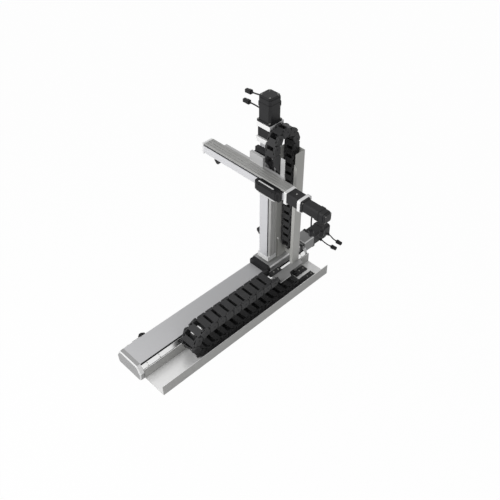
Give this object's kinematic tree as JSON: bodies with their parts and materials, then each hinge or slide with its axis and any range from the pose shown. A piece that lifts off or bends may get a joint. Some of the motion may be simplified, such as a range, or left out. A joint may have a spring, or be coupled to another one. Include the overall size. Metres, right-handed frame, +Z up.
{
  "type": "three-axis linear positioner",
  "caption": "Three-axis ball-screw positioner: a floor axis with a cable chain in a tray, a column axis on its slider and a cantilever beam axis on the column.",
  "frame": {"origin": "middle of the X actuator's underside, at the centre of its four tapped holes", "axes": "+X along the floor axis to its motor, +Y towards the beam's free tip, +Z up the column"},
  "size_m": [1.026, 0.567, 0.801],
  "materials": {
    "anodised_aluminium": "satin anodised extrusion and machined plate",
    "cover_steel": "satin stainless cover strip",
    "sheet_metal": "satin bent sheet",
    "housing_aluminium": "machined housing",
    "housing_black": "black anodised housing",
    "bearing_steel": "ground steel",
    "motor_black": "satin black",
    "cap_plastic": "moulded black",
    "chain_plastic": "moulded black polyamide",
    "sensor_plastic": "moulded black",
    "connector_plastic": "moulded black",
    "lead_jacket": "black jacket"
  },
  "bodies": {
    "base": {"x_base_profile": "anodised_aluminium", "x_cover_strip": "cover_steel", "x_guide_rails": "bearing_steel", "x_end_blocks": "anodised_aluminium", "x_coupling_housing": "housing_aluminium", "x_motor": "motor_black", "x_motor_lead_power": "lead_jacket", "x_motor_lead_encoder": "lead_jacket", "x_lead_connectors": "connector_plastic", "x_limit_sensor": "sensor_plastic", "x_chain_tray": "sheet_metal", "x_chain_lower_run": "chain_plastic"},
    "x_screw": {"x_ball_screw": "bearing_steel"},
    "x_chain_bend": {"x_chain_bend_links": "chain_plastic", "x_chain_upper_run": "chain_plastic"},
    "x_carriage": {"x_nut_and_guide_blocks": "bearing_steel", "x_carriage_plate": "anodised_aluminium", "x_slider_table": "anodised_aluminium", "x_slider_end_caps": "cap_plastic", "x_chain_moving_end": "chain_plastic", "x_chain_bracket": "sheet_metal", "column_foot": "anodised_aluminium", "z_base_profile": "anodised_aluminium", "z_cover_strip": "cover_steel", "z_guide_rails": "bearing_steel", "z_end_blocks": "anodised_aluminium", "z_coupling_housing": "housing_black", "z_motor_plate": "anodised_aluminium", "z_motor": "motor_black", "z_motor_lead_power": "lead_jacket", "z_motor_lead_encoder": "lead_jacket", "z_lead_connectors": "connector_plastic", "z_limit_sensor": "sensor_plastic", "z_chain_tray": "sheet_metal", "z_chain_back_run": "chain_plastic"},
    "z_screw": {"z_ball_screw": "bearing_steel"},
    "z_chain_bend": {"z_chain_bend_links": "chain_plastic", "z_chain_upper_run": "chain_plastic"},
    "z_carriage": {"z_nut_and_guide_blocks": "bearing_steel", "z_carriage_plate": "anodised_aluminium", "z_slider_table": "anodised_aluminium", "z_slider_end_caps": "cap_plastic", "z_chain_moving_end": "chain_plastic", "adapter_plate": "anodised_aluminium", "y_base_profile": "anodised_aluminium", "y_cover_strip": "cover_steel", "y_guide_rail": "bearing_steel", "y_end_blocks": "anodised_aluminium", "y_coupling_housing": "housing_black", "y_motor_plate": "anodised_aluminium", "y_motor": "motor_black", "y_motor_lead_power": "lead_jacket", "y_motor_lead_encoder": "lead_jacket", "y_lead_connectors": "connector_plastic", "y_limit_sensor": "sensor_plastic"},
    "y_screw": {"y_ball_screw": "bearing_steel"},
    "y_carriage": {"y_nut_and_guide_blocks": "bearing_steel", "y_carriage_plate": "anodised_aluminium", "y_slider_table": "anodised_aluminium", "y_slider_end_caps": "cap_plastic"}
  },
  "joints": [
    {"name": "x_slide", "type": "slide", "parent": "base", "child": "x_carriage", "axis": [1, 0, 0], "range_m": [-0.6, 0], "deforming": ["x_chain_upper_run"]},
    {"name": "x_screw_turn", "type": "hinge", "parent": "base", "child": "x_screw", "pos_m": [0, 0, 0.041], "axis": [1, 0, 0], "range_deg": [-10805, 5]},
    {"name": "x_chain_roll", "type": "slide", "parent": "base", "child": "x_chain_bend", "axis": [1, 0, 0], "range_m": [-0.301, 0.001]},
    {"name": "z_slide", "type": "slide", "parent": "x_carriage", "child": "z_carriage", "axis": [0, 0, 1], "range_m": [-0.375, 0], "deforming": ["z_chain_upper_run"]},
    {"name": "z_screw_turn", "type": "hinge", "parent": "x_carriage", "child": "z_screw", "pos_m": [0.25, 0, 0.3], "axis": [0, 0, 1], "range_deg": [-13505, 5]},
    {"name": "z_chain_roll", "type": "slide", "parent": "x_carriage", "child": "z_chain_bend", "axis": [0, 0, 1], "range_m": [-0.1885, 0.001]},
    {"name": "y_slide", "type": "slide", "parent": "z_carriage", "child": "y_carriage", "axis": [0, 1, 0], "range_m": [0, 0.25]},
    {"name": "y_screw_turn", "type": "hinge", "parent": "z_carriage", "child": "y_screw", "pos_m": [0.16, 0, 0.54285], "axis": [0, 1, 0], "range_deg": [-5, 9005]}
  ],
  "couplings": [
    {"joint": "x_screw_turn", "follows": "x_slide", "rad_per_m": 314.16},
    {"joint": "x_chain_roll", "follows": "x_slide", "ratio": 0.5},
    {"joint": "z_screw_turn", "follows": "z_slide", "rad_per_m": 628.32},
    {"joint": "z_chain_roll", "follows": "z_slide", "ratio": 0.5},
    {"joint": "y_screw_turn", "follows": "y_slide", "rad_per_m": 628.32}
  ]
}
